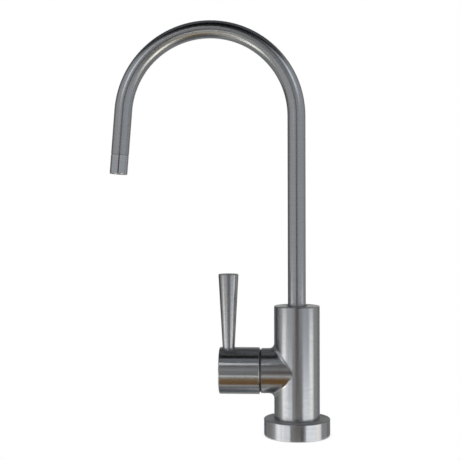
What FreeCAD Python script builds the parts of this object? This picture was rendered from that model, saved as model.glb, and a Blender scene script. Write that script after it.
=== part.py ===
import FreeCAD, Part
import math
import os

# Single-lever drinking water faucet: base flange, upright body with a side neck, lever handle on a
# ceramic quarter-turn cartridge, swivelling gooseneck spout, and the shank that clamps it to a deck.
# Millimetres and degrees. The origin is the centre of the flange's underside, on the deck. Z is up,
# and the handle and the spout at rest point along -X.

# Running and seating clearances
RUN_FIT = 0.05        # radial gap of a part that turns in a bore
SEAT_FIT = 0.03       # radial gap of a part that is pressed or screwed in
FACE_GAP = 0.05       # gap between flat faces that slide on each other
EDGE_BREAK = 0.3      # chamfer on the small visible edges

# Body column and base flange
BODY_D = 30.5         # outside of the upright column
BODY_LOWER = 31.8     # from the flange's top to the handle's axis
BODY_UPPER = 43.3     # from the handle's axis to the column's top
BODY_EDGE = 0.4       # rounding of the column's top rim
BASE_RIM = 6.9        # how far the flange stands out past the column
BASE_H = 11.3         # flange height
BASE_EDGE = 0.4       # rounding of the flange's rims
SHOULDER = 3.1        # ledge of the column that clamps the flange
SPIGOT_H = 9.3        # depth of the column's spigot in the flange
GASKET_LAND = 3.0     # flat ring each side of the gasket
GASKET_T = 2.0        # gasket thickness

# Side neck and handle
NECK_STEP = 0.3       # how much smaller the neck's radius is than the column's
NECK_REACH = 8.75     # from the column's side to the neck's end face
CREASE_R = 3.4        # fillet where the neck meets the column
NECK_EDGE = 0.6       # chamfer on the neck's end
HANDLE_GAP = 0.7      # dark line between the neck and the hub
HUB_STEP = 0.6        # how much larger the hub's radius is than the neck's
HUB_LENGTH = 26.95
HUB_EDGE = 0.8        # rounding of the hub's outer rim
HUB_CLEAR = 0.8       # room round the cartridge's head inside the hub
GLIDE_INSET = 0.9     # how far the handle's glide ring stays inside the neck's rim
LEVER_INSET = 6.15    # from the hub's outer face to the lever's axis
LEVER_LENGTH = 48.95  # from the hub's crest to the lever's top
LEVER_FOOT_D = 8.2
LEVER_TOP_D = 13.6
LEVER_EDGE = 0.6      # rounding of the lever's top rim
LEVER_SINK = 0.9      # depth of the lever's foot in its pocket, below the hub's crest
LEVER_STUD_D = 6.0
LEVER_STUD_L = 7.5
GRUB_D = 4.0
GRUB_L = 7.0
GRUB_SOCKET = 2.0     # across the flats of the grub screw's socket
GRUB_SOCKET_DEPTH = 2.5

# Valve cartridge
CARTRIDGE_D = 18.0    # outside of its thread
CARTRIDGE_DEPTH = 25.2  # from the neck's end face to the seat
CARTRIDGE_THREAD_L = 9.0
ANNULUS = 1.7         # water ring between the lower housing and the body's bore
HOUSING_WALL = 1.25
SEAT_LIFT = 0.5       # how far the housing stays off the seat
FLANGE_RIM = 1.2      # how far the housing's flange stands out past the thread
FLANGE_T = 1.2
HEX_STEP = 0.6        # how much smaller the hex is across its flats than the thread
HEX_H = 4.0
SEAL_T = 2.5
SEAL_BORE = 7.0
DISC_T = 3.0
DISC_RIM = 1.1        # ring of ceramic outside the water ports
PORT_INNER_R = 1.8
PORT_ANGLE = 80.0     # each disc has two ports of this angle
CHAMBER_L = 4.0       # open space behind the moving disc
WINDOW_W = 6.0        # side windows that let the water out of the housing
STEM_D = 7.0
FOOT_W = 4.0          # cross bar of the stem that drives the moving disc
FOOT_T = 2.0
FOOT_CLEAR = 0.8
TANG_W = 2.4
TANG_DEPTH = 1.2
CLIP_T = 0.9
CLIP_RIM = 1.3        # how far the clip stands out past the stem
CLIP_DEPTH = 0.7
CLIP_OPENING = 4.0
SPLINE_L = 10.0
SPLINE_DEPTH = 0.45
SPLINE_TEETH = 20
SPLINE_END_GAP = 0.8
STEM_RING_GROOVE = 1.1  # depth of the stem's ring grooves
STEM_RING_FIRST = 3.0   # from the chamber's shoulder to the first ring
STEM_RING_STEP = 4.0
HOUSING_RING_GROOVE = 1.2
HOUSING_RING_INSET = 2.0
RING_SIDE_ROOM = 0.4  # side room of a seal ring in its groove

# Water drillings in the body
DRILL_D = 5.0
SEAT_PORT_D = 7.0
SHANK_SCREW_L = 20.0  # depth of the shank's hole above the spigot's face
SHANK_TOP_GAP = 3.0   # water space above the shank
WELL_LEDGE = 1.5      # ledge in the spout's socket that carries the thrust washer
WELL_H = 3.0
WELL_INSET = 0.4      # from the well's wall to the outlet drilling

# Gooseneck spout
TUBE_D = 12.0
TUBE_WALL = 0.9
TUBE_RISE = 126.1     # from the body's top to the start of the bend
BEND_R = 57.95
LEG_TILT = 4.7        # the outlet leg leans outward from the vertical
LEG_LENGTH = 43.0     # from the end of the bend to the outlet
SOCKET_DEPTH = 25.4
THRUST_T = 1.0
FERRULE_L = 18.0
FERRULE_PLUG_L = 8.0  # length of the ferrule inside the tube
FERRULE_BORE = 7.0
SPOUT_RING_GROOVE = 1.5
SPOUT_RING_FIRST = 4.0
SPOUT_RING_STEP = 4.5
SNAP_HEIGHT = 13.0    # from the ferrule's foot to its snap ring
SNAP_T = 1.2
SNAP_RIM = 0.8        # how far the snap ring stands out past the ferrule
SNAP_DEPTH = 1.2
SNAP_CLEAR = 0.3
SNAP_OPENING = 5.0
GLIDE_T = 1.0         # wall of the dark bush at the body's top
GLIDE_H = 3.0
GLIDE_SINK = 0.3      # how far the bush stays below the body's top
SLEEVE_LENGTH = 13.2
SLEEVE_EDGE = 0.8     # rounding of the outlet's rim
SLEEVE_WALL = 1.5
SLEEVE_PLUG_L = 7.0
SLEEVE_PLUG_WALL = 0.9
INSERT_SINK = 1.2     # how far the flow straightener stays inside the outlet
INSERT_L = 6.0
INSERT_HOLE_D = 1.9
INSERT_HOLES = 6
INSERT_RIM = 0.85     # from the straightener's outer holes to its rim
SCREEN_T = 0.6
SCREEN_HOLE_D = 0.9
SCREEN_RIM = 1.2
SCREEN_ROWS = (1, 6, 12)  # holes on each ring of the screen, from its centre out

# Shank and the clamp stack under the deck
SHANK_D = 11.11       # 7/16 inch thread, 24 turns to the inch
SHANK_BORE = 6.5
SHANK_DOWN = 45.0     # threaded length below the deck
THREAD_PITCH = 25.4 / 24
THREAD_DEPTH = 0.55
THREAD_CREST = 0.26
THREAD_START = 3.0    # plain length just under the deck
INLET_D = 9.525       # 3/8 inch stem for a push-on connector
INLET_L = 20.0
INLET_EDGE = 0.5
DECK_T = 20.0         # deck thickness at which the stack is drawn
NUT_FIT = 0.1         # radial gap of the nut on the shank
WASHER_FIT = 0.25     # radial gap of the washers on the shank
DECK_WASHER_D = 32.0
DECK_WASHER_T = 3.0
STEEL_WASHER_D = 28.0
STEEL_WASHER_T = 1.6
LOCK_WASHER_WALL = 3.2
LOCK_WASHER_T = 2.4
LOCK_WASHER_SPLIT = 1.6
NUT_WALL = 3.2
NUT_H = 8.0

# Places worked out from the sizes above
HANDLE_Z = BASE_H + BODY_LOWER
BODY_TOP = HANDLE_Z + BODY_UPPER
BASE_D = BODY_D + 2 * BASE_RIM
SPIGOT_D = BODY_D - 2 * SHOULDER
SPIGOT_Z = BASE_H - SPIGOT_H
NECK_D = BODY_D - 2 * NECK_STEP
HUB_D = NECK_D + 2 * HUB_STEP
HUB_TOP = HANDLE_Z + HUB_D / 2

# Distances out from the column's axis, along the handle's axis
NECK_OUT = BODY_D / 2 + NECK_REACH
HUB_IN = NECK_OUT + HANDLE_GAP
HUB_OUT = HUB_IN + HUB_LENGTH
LEVER_OUT = HUB_OUT - LEVER_INSET
SEAT_OUT = NECK_OUT - CARTRIDGE_DEPTH
FIXED_DISC_IN = SEAT_OUT + SEAL_T
MOVING_DISC_IN = FIXED_DISC_IN + DISC_T + FACE_GAP
FOOT_IN = MOVING_DISC_IN + DISC_T
CHAMBER_OUT = FOOT_IN + CHAMBER_L
THREAD_IN = NECK_OUT - CARTRIDGE_THREAD_L
HEX_IN = NECK_OUT + FLANGE_T
HOUSING_OUT = HEX_IN + HEX_H
CLIP_IN = HOUSING_OUT + FACE_GAP
SPLINE_IN = CLIP_IN + CLIP_T + FACE_GAP
STEM_OUT = SPLINE_IN + SPLINE_L
HUB_CAVITY_OUT = SPLINE_IN + FACE_GAP
GRUB_OUT = (HUB_CAVITY_OUT + STEM_OUT) / 2

# Cartridge diameters, from the outside in
CARTRIDGE_BORE_D = CARTRIDGE_D + 2 * SEAT_FIT
LOWER_D = CARTRIDGE_D - 2 * ANNULUS
CHAMBER_D = LOWER_D - 2 * HOUSING_WALL
DISC_D = CHAMBER_D - 2 * RUN_FIT
HEX_AF = CARTRIDGE_D - HEX_STEP
HEAD_D = max(CARTRIDGE_D + 2 * FLANGE_RIM, HEX_AF / math.cos(math.pi / 6))
HUB_CAVITY_D = HEAD_D + 2 * HUB_CLEAR
STEM_BORE_D = STEM_D + 2 * RUN_FIT

# Spout heights and diameters
TUBE_BORE = TUBE_D - 2 * TUBE_WALL
SOCKET_D = TUBE_D + 2 * RUN_FIT
SOCKET_Z = BODY_TOP - SOCKET_DEPTH
WELL_D = SOCKET_D - 2 * WELL_LEDGE
FERRULE_Z = SOCKET_Z + THRUST_T + FACE_GAP
TUBE_Z = FERRULE_Z + FERRULE_L
SNAP_Z = FERRULE_Z + SNAP_HEIGHT
BEND_Z = BODY_TOP + TUBE_RISE
SHANK_TOP = SPIGOT_Z + SHANK_SCREW_L - SHANK_TOP_GAP


def vec(x, y, z):
    return FreeCAD.Vector(x, y, z)


UP = vec(0, 0, 1)
OUTWARD = vec(-1, 0, 0)


def upright(diameter, z0, z1, x=0.0):
    """Round bar along Z."""
    return Part.makeCylinder(diameter / 2, z1 - z0, vec(x, 0, z0), UP)


def upright_ring(outside, bore, z0, z1):
    return upright(outside, z0, z1).cut(upright(bore, z0, z1))


def across(diameter, out0, out1):
    """Round bar on the handle's axis, between two distances out from the column's axis."""
    return Part.makeCylinder(diameter / 2, out1 - out0, vec(-out0, 0, HANDLE_Z), OUTWARD)


def across_ring(outside, bore, out0, out1):
    return across(outside, out0, out1).cut(across(bore, out0, out1))


def across_block(length_y, length_z, out0, out1):
    """Block centred on the handle's axis."""
    corner = vec(-out1, -length_y / 2, HANDLE_Z - length_z / 2)
    return Part.makeBox(out1 - out0, length_y, length_z, corner)


def hex_bar(flats, length, base, direction):
    """Hexagonal bar from a base point along a direction."""
    radius = flats / 2 / math.cos(math.pi / 6)
    angles = [math.pi / 3 * k for k in range(6)]
    corners = [vec(radius * math.cos(a), radius * math.sin(a), 0) for a in angles]
    bar = Part.Face(Part.makePolygon(corners + corners[:1])).extrude(vec(0, 0, length))
    bar.Placement = FreeCAD.Placement(base, FreeCAD.Rotation(UP, direction))
    return bar


def rim_edges(shape, z):
    """Circular edges that lie flat at one height."""
    return [e for e in shape.Edges if isinstance(e.Curve, Part.Circle)
            and abs(e.BoundBox.ZMin - z) < 1e-6 and abs(e.BoundBox.ZMax - z) < 1e-6]


def end_edges(shape, out, diameter):
    """Circular edges of one diameter at one distance out along the handle's axis."""
    return [e for e in shape.Edges if isinstance(e.Curve, Part.Circle)
            and abs(e.BoundBox.XMin + out) < 1e-6 and abs(e.BoundBox.XMax + out) < 1e-6
            and abs(e.Curve.Radius - diameter / 2) < 1e-6]


def seal_ring(bore_radius, groove_radius, centre, axis):
    """Seal ring that fills the space from a groove's floor to a radius."""
    section = (bore_radius - groove_radius) / 2
    return Part.makeTorus(groove_radius + section, section, centre, axis)


def spline_bar(tip_radius, root_radius, out0, out1):
    """Toothed bar on the handle's axis."""
    step = math.pi / SPLINE_TEETH
    points = []
    for k in range(2 * SPLINE_TEETH):
        radius = tip_radius if k % 2 == 0 else root_radius
        points.append(vec(-out0, radius * math.sin(k * step), HANDLE_Z + radius * math.cos(k * step)))
    return Part.Face(Part.makePolygon(points + points[:1])).extrude(OUTWARD * (out1 - out0))


def on_leg(shape):
    """Moves a shape drawn upright, with the outlet at the origin, to the end of the spout's leg."""
    tilt = math.radians(LEG_TILT)
    tip = vec(-BEND_R * (1 + math.cos(tilt)) - LEG_LENGTH * math.sin(tilt), 0,
              BEND_Z + BEND_R * math.sin(tilt) - LEG_LENGTH * math.cos(tilt))
    shape.Placement = FreeCAD.Placement(tip, FreeCAD.Rotation(vec(0, 1, 0), LEG_TILT))
    return shape


# Fixed to the deck

def base_flange():
    flange = upright(BASE_D, 0, BASE_H)
    flange = flange.makeFillet(BASE_EDGE, rim_edges(flange, 0) + rim_edges(flange, BASE_H))
    flange = flange.cut(upright(SPIGOT_D + 2 * SEAT_FIT, 0, BASE_H))
    return flange.cut(gasket_blank())


def gasket_blank():
    return upright_ring(BASE_D - 2 * GASKET_LAND, SPIGOT_D + 2 * GASKET_LAND, 0, GASKET_T)


def base_gasket():
    return gasket_blank()


def body_shell():
    """Column and neck as one casting, with the crease between them rounded."""
    shell = upright(BODY_D, BASE_H, BODY_TOP).fuse(across(NECK_D, 0, NECK_OUT)).removeSplitter()
    crease = [e for e in shell.Edges if not isinstance(e.Curve, (Part.Line, Part.Circle))]
    shell = shell.makeFillet(CREASE_R, crease)
    shell = shell.makeFillet(BODY_EDGE, rim_edges(shell, BODY_TOP))
    shell = shell.makeChamfer(NECK_EDGE, end_edges(shell, NECK_OUT, NECK_D))
    return shell.fuse(upright(SPIGOT_D, SPIGOT_Z, BASE_H))


def faucet_body():
    inlet_x = SHANK_D / 2
    outlet_x = WELL_INSET - (WELL_D - DRILL_D) / 2
    shank_hole_top = SPIGOT_Z + SHANK_SCREW_L
    glide_seat = BODY_TOP - GLIDE_SINK - GLIDE_H
    snap_room = SNAP_T / 2 + SNAP_CLEAR
    cuts = [
        across(CARTRIDGE_BORE_D, SEAT_OUT, NECK_OUT),
        across(SEAT_PORT_D, -inlet_x, SEAT_OUT),
        upright(SHANK_D + 2 * SEAT_FIT, SPIGOT_Z, shank_hole_top),
        upright(DRILL_D, shank_hole_top, HANDLE_Z, inlet_x),
        upright(SOCKET_D, SOCKET_Z, BODY_TOP),
        upright(WELL_D, SOCKET_Z - WELL_H, SOCKET_Z),
        upright(DRILL_D, HANDLE_Z, SOCKET_Z - WELL_H, outlet_x),
        upright(TUBE_D + 2 * GLIDE_T, glide_seat, BODY_TOP),
        upright(TUBE_D + 2 * (SNAP_RIM + SNAP_CLEAR), SNAP_Z - snap_room, SNAP_Z + snap_room),
    ]
    return body_shell().cut(cuts).removeSplitter()


def threaded_shank():
    """Hollow shank with thread grooves below the deck and a plain inlet stem at its lower end."""
    major = SHANK_D / 2
    root = major - THREAD_DEPTH
    groove = THREAD_PITCH - THREAD_CREST
    turns = int((SHANK_DOWN - THREAD_START) / THREAD_PITCH)
    outline = [vec(SHANK_BORE / 2, 0, SHANK_TOP), vec(major, 0, SHANK_TOP)]
    for k in range(turns):
        z = -THREAD_START - k * THREAD_PITCH
        outline.append(vec(major, 0, z))
        outline.append(vec(root, 0, z - groove / 2))
        outline.append(vec(major, 0, z - groove))
    foot = -SHANK_DOWN - INLET_L
    outline.append(vec(major, 0, -SHANK_DOWN))
    outline.append(vec(INLET_D / 2, 0, -SHANK_DOWN))
    outline.append(vec(INLET_D / 2, 0, foot + INLET_EDGE))
    outline.append(vec(INLET_D / 2 - INLET_EDGE, 0, foot))
    outline.append(vec(SHANK_BORE / 2, 0, foot))
    face = Part.Face(Part.makePolygon(outline + outline[:1]))
    return face.revolve(vec(0, 0, 0), UP, 360)


def cartridge_housing():
    ring_out = THREAD_IN + HOUSING_RING_INSET
    ring_half = (HOUSING_RING_GROOVE + RING_SIDE_ROOM) / 2
    housing = across(LOWER_D, SEAT_OUT + SEAT_LIFT, THREAD_IN)
    housing = housing.fuse(across(CARTRIDGE_D, THREAD_IN, NECK_OUT))
    housing = housing.fuse(across(CARTRIDGE_D + 2 * FLANGE_RIM, NECK_OUT, HEX_IN))
    housing = housing.fuse(hex_bar(HEX_AF, HEX_H, vec(-HEX_IN, 0, HANDLE_Z), OUTWARD))
    groove = across_ring(CARTRIDGE_D, CARTRIDGE_D - 2 * HOUSING_RING_GROOVE,
                         ring_out - ring_half, ring_out + ring_half)
    window = across_block(LOWER_D, WINDOW_W, FOOT_IN, CHAMBER_OUT)
    cuts = [
        across(CHAMBER_D, SEAT_OUT + SEAT_LIFT, CHAMBER_OUT),
        across(STEM_BORE_D, CHAMBER_OUT, HOUSING_OUT),
        groove,
        window,
    ]
    return housing.cut(cuts).removeSplitter()


def housing_o_ring():
    groove_radius = CARTRIDGE_D / 2 - HOUSING_RING_GROOVE
    centre = vec(-THREAD_IN - HOUSING_RING_INSET, 0, HANDLE_Z)
    return seal_ring(CARTRIDGE_D / 2, groove_radius, centre, OUTWARD)


def ceramic_disc(disc_in, turn):
    """Valve disc with two opposite ports, turned about the handle's axis."""
    disc = across(DISC_D, disc_in, disc_in + DISC_T)
    base = vec(-disc_in, 0, HANDLE_Z)
    for side in (0, 180):
        port = Part.makeCylinder(DISC_D / 2 - DISC_RIM, DISC_T, base, OUTWARD, PORT_ANGLE)
        port.rotate(base, OUTWARD, turn + side - PORT_ANGLE / 2)
        disc = disc.cut(port.cut(across(2 * PORT_INNER_R, disc_in, disc_in + DISC_T)))
    return disc


def fixed_ceramic_disc():
    return ceramic_disc(FIXED_DISC_IN, 90)


def seat_seal():
    return across_ring(DISC_D, SEAL_BORE, SEAT_OUT, FIXED_DISC_IN)


def handle_glide_ring():
    head = CARTRIDGE_D + 2 * (FLANGE_RIM + SEAT_FIT)
    return across_ring(NECK_D - 2 * GLIDE_INSET, head, NECK_OUT, HUB_IN - FACE_GAP)


def spout_glide_ring():
    top = BODY_TOP - GLIDE_SINK
    return upright_ring(TUBE_D + 2 * (GLIDE_T - SEAT_FIT), SOCKET_D, top - GLIDE_H, top)


def spout_thrust_washer():
    return upright_ring(SOCKET_D - 2 * SEAT_FIT, WELL_D, SOCKET_Z, SOCKET_Z + THRUST_T)


# Turns with the handle

def handle_hub():
    hub = across(HUB_D, HUB_IN, HUB_OUT)
    hub = hub.makeFillet(HUB_EDGE, end_edges(hub, HUB_OUT, HUB_D))
    hub = hub.makeChamfer(EDGE_BREAK, end_edges(hub, HUB_IN, HUB_D))
    pocket_floor = HUB_TOP - LEVER_SINK
    tip = STEM_D / 2 + SEAT_FIT
    cuts = [
        across(HUB_CAVITY_D, HUB_IN, HUB_CAVITY_OUT),
        spline_bar(tip, tip - SPLINE_DEPTH, HUB_CAVITY_OUT, STEM_OUT + SPLINE_END_GAP),
        upright(LEVER_FOOT_D + 2 * SEAT_FIT, pocket_floor, HUB_TOP, -LEVER_OUT),
        upright(LEVER_STUD_D + 2 * SEAT_FIT, pocket_floor - LEVER_STUD_L, pocket_floor, -LEVER_OUT),
        upright(GRUB_D + 2 * SEAT_FIT, HANDLE_Z - HUB_D / 2, HANDLE_Z - STEM_D / 4, -GRUB_OUT),
    ]
    return hub.cut(cuts)


def handle_lever():
    """Tapered lever with a straight foot in the hub's pocket and a threaded stud below it."""
    pocket_floor = HUB_TOP - LEVER_SINK
    axis_foot = vec(-LEVER_OUT, 0, HUB_TOP)
    taper = Part.makeCone(LEVER_FOOT_D / 2, LEVER_TOP_D / 2, LEVER_LENGTH, axis_foot, UP)
    taper = taper.makeFillet(LEVER_EDGE, rim_edges(taper, HUB_TOP + LEVER_LENGTH))
    foot = upright(LEVER_FOOT_D, pocket_floor, HUB_TOP, -LEVER_OUT)
    stud = upright(LEVER_STUD_D, pocket_floor - LEVER_STUD_L, pocket_floor, -LEVER_OUT)
    return taper.fuse([foot, stud]).removeSplitter()


def grub_screw():
    top = HANDLE_Z - STEM_D / 2 - SEAT_FIT
    screw = upright(GRUB_D, top - GRUB_L, top, -GRUB_OUT)
    socket = hex_bar(GRUB_SOCKET, GRUB_SOCKET_DEPTH, vec(-GRUB_OUT, 0, top - GRUB_L), UP)
    return screw.cut(socket)


def stem_ring_places():
    first = CHAMBER_OUT + STEM_RING_FIRST
    return [first, first + STEM_RING_STEP]


def valve_stem():
    """Stem with a cross bar and tang at its foot, ring and clip grooves, and a splined end."""
    foot_l = CHAMBER_D - 2 * FOOT_CLEAR
    ring_half = (STEM_RING_GROOVE + RING_SIDE_ROOM) / 2
    bar = across_block(foot_l, FOOT_W, FOOT_IN, FOOT_IN + FOOT_T)
    tang = across_block(foot_l, TANG_W, FOOT_IN - TANG_DEPTH, FOOT_IN)
    stem = across(STEM_D, FOOT_IN + FOOT_T, SPLINE_IN).fuse([bar, tang])
    stem = stem.fuse(spline_bar(STEM_D / 2, STEM_D / 2 - SPLINE_DEPTH, SPLINE_IN, STEM_OUT))
    cuts = [across_ring(STEM_D, STEM_D - 2 * CLIP_DEPTH, CLIP_IN, CLIP_IN + CLIP_T)]
    for place in stem_ring_places():
        cuts.append(across_ring(STEM_D, STEM_D - 2 * STEM_RING_GROOVE, place - ring_half, place + ring_half))
    return stem.cut(cuts).removeSplitter()


def moving_ceramic_disc():
    foot_l = CHAMBER_D - 2 * FOOT_CLEAR
    slot = across_block(foot_l + 2 * SEAT_FIT, TANG_W + 2 * SEAT_FIT, FOOT_IN - TANG_DEPTH, FOOT_IN)
    return ceramic_disc(MOVING_DISC_IN, 0).cut(slot)


def stem_o_rings():
    groove_radius = STEM_D / 2 - STEM_RING_GROOVE
    return Part.makeCompound([seal_ring(STEM_D / 2, groove_radius, vec(-place, 0, HANDLE_Z), OUTWARD)
                              for place in stem_ring_places()])


def stem_clip():
    clip = across_ring(STEM_D + 2 * CLIP_RIM, STEM_D - 2 * CLIP_DEPTH, CLIP_IN, CLIP_IN + CLIP_T)
    mouth = Part.makeBox(CLIP_T, CLIP_OPENING, STEM_D, vec(-CLIP_IN - CLIP_T, -CLIP_OPENING / 2, HANDLE_Z))
    return clip.cut(mouth)


# Turns with the spout

def gooseneck(diameter):
    """Solid bar along the tube's line: riser, bend and outlet leg down to the sleeve."""
    riser = upright(diameter, TUBE_Z, BEND_Z)
    section = Part.Face(Part.Wire(Part.makeCircle(diameter / 2, vec(0, 0, BEND_Z), UP)))
    bend = section.revolve(vec(-BEND_R, 0, BEND_Z), vec(0, -1, 0), 180 - LEG_TILT)
    leg = on_leg(upright(diameter, SLEEVE_LENGTH, LEG_LENGTH))
    return riser, bend, leg


def spout_tube():
    outside = gooseneck(TUBE_D)
    bore = gooseneck(TUBE_BORE)
    spans = [shell.cut(core) for shell, core in zip(outside, bore)]
    tube = spans[0].fuse(spans[1:]).removeSplitter()
    end = upright(TUBE_D, SLEEVE_LENGTH, SLEEVE_LENGTH + EDGE_BREAK)
    cone = Part.makeCone(TUBE_D / 2 - EDGE_BREAK, TUBE_D / 2, EDGE_BREAK, vec(0, 0, SLEEVE_LENGTH), UP)
    return tube.cut(on_leg(end.cut(cone)))


def spout_ring_places():
    first = FERRULE_Z + SPOUT_RING_FIRST
    return [first, first + SPOUT_RING_STEP]


def spout_ferrule():
    """Brass end piece of the tube, with the grooves for the seal rings and the snap ring."""
    ring_half = (SPOUT_RING_GROOVE + RING_SIDE_ROOM) / 2
    ferrule = upright(TUBE_D, FERRULE_Z, TUBE_Z)
    ferrule = ferrule.fuse(upright(TUBE_BORE - 2 * SEAT_FIT, TUBE_Z, TUBE_Z + FERRULE_PLUG_L))
    cuts = [upright(FERRULE_BORE, FERRULE_Z, TUBE_Z + FERRULE_PLUG_L)]
    for z in spout_ring_places():
        cuts.append(upright_ring(TUBE_D, TUBE_D - 2 * SPOUT_RING_GROOVE, z - ring_half, z + ring_half))
    snap_half = SNAP_T / 2 + FACE_GAP
    cuts.append(upright_ring(TUBE_D, TUBE_D - 2 * SNAP_DEPTH, SNAP_Z - snap_half, SNAP_Z + snap_half))
    return ferrule.cut(cuts)


def spout_o_rings():
    groove_radius = TUBE_D / 2 - SPOUT_RING_GROOVE
    return Part.makeCompound([seal_ring(TUBE_D / 2, groove_radius, vec(0, 0, z), UP)
                              for z in spout_ring_places()])


def spout_snap_ring():
    foot = SNAP_Z - SNAP_T / 2
    ring = upright_ring(TUBE_D + 2 * SNAP_RIM, TUBE_D - 2 * SNAP_DEPTH, foot, foot + SNAP_T)
    mouth = Part.makeBox(TUBE_D, SNAP_OPENING, SNAP_T, vec(0, -SNAP_OPENING / 2, foot))
    return ring.cut(mouth)


def outlet_sleeve():
    """Sleeve at the outlet, with a plug that goes into the tube."""
    insert_room = INSERT_SINK + INSERT_L + SCREEN_T
    plug_d = TUBE_BORE - 2 * SEAT_FIT
    sleeve = upright(TUBE_D, 0, SLEEVE_LENGTH)
    sleeve = sleeve.makeFillet(SLEEVE_EDGE, rim_edges(sleeve, 0))
    sleeve = sleeve.makeChamfer(EDGE_BREAK, rim_edges(sleeve, SLEEVE_LENGTH))
    sleeve = sleeve.fuse(upright(plug_d, SLEEVE_LENGTH, SLEEVE_LENGTH + SLEEVE_PLUG_L))
    cuts = [
        upright(TUBE_D - 2 * SLEEVE_WALL, 0, insert_room),
        upright(plug_d - 2 * SLEEVE_PLUG_WALL, insert_room, SLEEVE_LENGTH + SLEEVE_PLUG_L),
    ]
    return on_leg(sleeve.cut(cuts))


def drilled_disc(z0, z1, hole_d, rings):
    """Disc in the outlet's bore with rings of straight holes; each ring is a radius and a count."""
    disc = upright(TUBE_D - 2 * (SLEEVE_WALL + SEAT_FIT), z0, z1)
    holes = []
    for radius, count in rings:
        for k in range(count):
            angle = 2 * math.pi * k / count
            foot = vec(radius * math.cos(angle), radius * math.sin(angle), z0)
            holes.append(Part.makeCylinder(hole_d / 2, z1 - z0, foot, UP))
    return on_leg(disc.cut(holes))


def flow_straightener():
    bore_radius = TUBE_D / 2 - SLEEVE_WALL
    rings = [(0, 1), (bore_radius - INSERT_RIM - INSERT_HOLE_D / 2, INSERT_HOLES)]
    return drilled_disc(INSERT_SINK, INSERT_SINK + INSERT_L, INSERT_HOLE_D, rings)


def outlet_screen():
    foot = INSERT_SINK + INSERT_L
    bore_radius = TUBE_D / 2 - SLEEVE_WALL
    pitch = (bore_radius - SCREEN_RIM - SCREEN_HOLE_D / 2) / (len(SCREEN_ROWS) - 1)
    rings = [(pitch * k, count) for k, count in enumerate(SCREEN_ROWS)]
    return drilled_disc(foot, foot + SCREEN_T, SCREEN_HOLE_D, rings)


# Clamp stack under the deck

STEEL_WASHER_Z = -DECK_T - DECK_WASHER_T
LOCK_WASHER_Z = STEEL_WASHER_Z - STEEL_WASHER_T
NUT_Z = LOCK_WASHER_Z - LOCK_WASHER_T
WASHER_BORE = SHANK_D + 2 * WASHER_FIT


def deck_washer():
    return upright_ring(DECK_WASHER_D, WASHER_BORE, STEEL_WASHER_Z, -DECK_T)


def steel_washer():
    return upright_ring(STEEL_WASHER_D, WASHER_BORE, LOCK_WASHER_Z, STEEL_WASHER_Z)


def lock_washer():
    outside = WASHER_BORE + 2 * LOCK_WASHER_WALL
    ring = upright_ring(outside, WASHER_BORE, NUT_Z, LOCK_WASHER_Z)
    split = Part.makeBox(outside, LOCK_WASHER_SPLIT, LOCK_WASHER_T, vec(0, -LOCK_WASHER_SPLIT / 2, NUT_Z))
    return ring.cut(split)


def fixing_nut():
    """Hexagonal nut with its corners turned off at both faces."""
    flats = SHANK_D + 2 * (NUT_FIT + NUT_WALL)
    nut = hex_bar(flats, NUT_H, vec(0, 0, NUT_Z - NUT_H), UP)
    turned = upright(flats / math.cos(math.pi / 6), NUT_Z - NUT_H, NUT_Z)
    corner = (flats / math.cos(math.pi / 6) - flats) / 2
    turned = turned.makeChamfer(corner, rim_edges(turned, NUT_Z) + rim_edges(turned, NUT_Z - NUT_H))
    return nut.common(turned).cut(upright(SHANK_D + 2 * NUT_FIT, NUT_Z - NUT_H, NUT_Z))


PIECES = (
    base_flange, base_gasket, faucet_body, threaded_shank, cartridge_housing, housing_o_ring,
    fixed_ceramic_disc, seat_seal, handle_glide_ring, spout_glide_ring, spout_thrust_washer,
    handle_hub, handle_lever, grub_screw, valve_stem, moving_ceramic_disc, stem_o_rings, stem_clip,
    spout_tube, spout_ferrule, spout_o_rings, spout_snap_ring, outlet_sleeve, flow_straightener,
    outlet_screen, deck_washer, steel_washer, lock_washer, fixing_nut,
)

os.makedirs("parts", exist_ok=True)
for piece in PIECES:
    piece().exportStep("parts/" + piece.__name__ + ".step")
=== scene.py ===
import math
from collections import namedtuple

import bmesh
import bpy
from bpy.props import FloatProperty, FloatVectorProperty, PointerProperty
from mathutils import Euler, Matrix, Vector


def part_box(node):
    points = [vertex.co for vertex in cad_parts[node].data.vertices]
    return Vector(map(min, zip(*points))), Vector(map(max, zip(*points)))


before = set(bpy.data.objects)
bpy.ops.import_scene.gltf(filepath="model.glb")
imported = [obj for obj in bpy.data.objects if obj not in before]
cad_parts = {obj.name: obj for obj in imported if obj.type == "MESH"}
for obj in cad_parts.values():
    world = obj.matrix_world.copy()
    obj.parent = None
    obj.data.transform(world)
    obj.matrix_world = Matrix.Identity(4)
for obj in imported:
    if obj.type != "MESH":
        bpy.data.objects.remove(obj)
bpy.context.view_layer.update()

bl_info = {
    "name": "Drinking Water Faucet Looks",
    "version": (1, 0, 0),
    "blender": (4, 5, 0),
    "location": "3D View > Sidebar > Faucet",
    "description": "Dresses a gooseneck drinking water faucet in brushed nickel and sets a studio",
    "category": "Object",
}

MM = 0.001

# The middle of the faucet's underside, and the axes that its pieces were turned on
ORIGIN = (0, 0, 0)
UPRIGHT = (0, 0, 1)
LEVEL = (1, 0, 0)
NO_AXIS = (0, 0, 0)

# Places read from the frame, in metres
HANDLE_Z = (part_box("handle_hub")[0].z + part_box("handle_hub")[1].z) / 2
LEVER_X = (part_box("handle_lever")[0].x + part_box("handle_lever")[1].x) / 2
BASE_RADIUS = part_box("base_flange")[1].x
SPOUT_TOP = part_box("spout_tube")[1].z
TUBE_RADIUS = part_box("spout_tube")[1].x
COLUMN_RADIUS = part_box("faucet_body")[1].x

# Kinds of node that come up often
MATH = "ShaderNodeMath"
VECTOR_MATH = "ShaderNodeVectorMath"
MAP_RANGE = "ShaderNodeMapRange"


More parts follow.
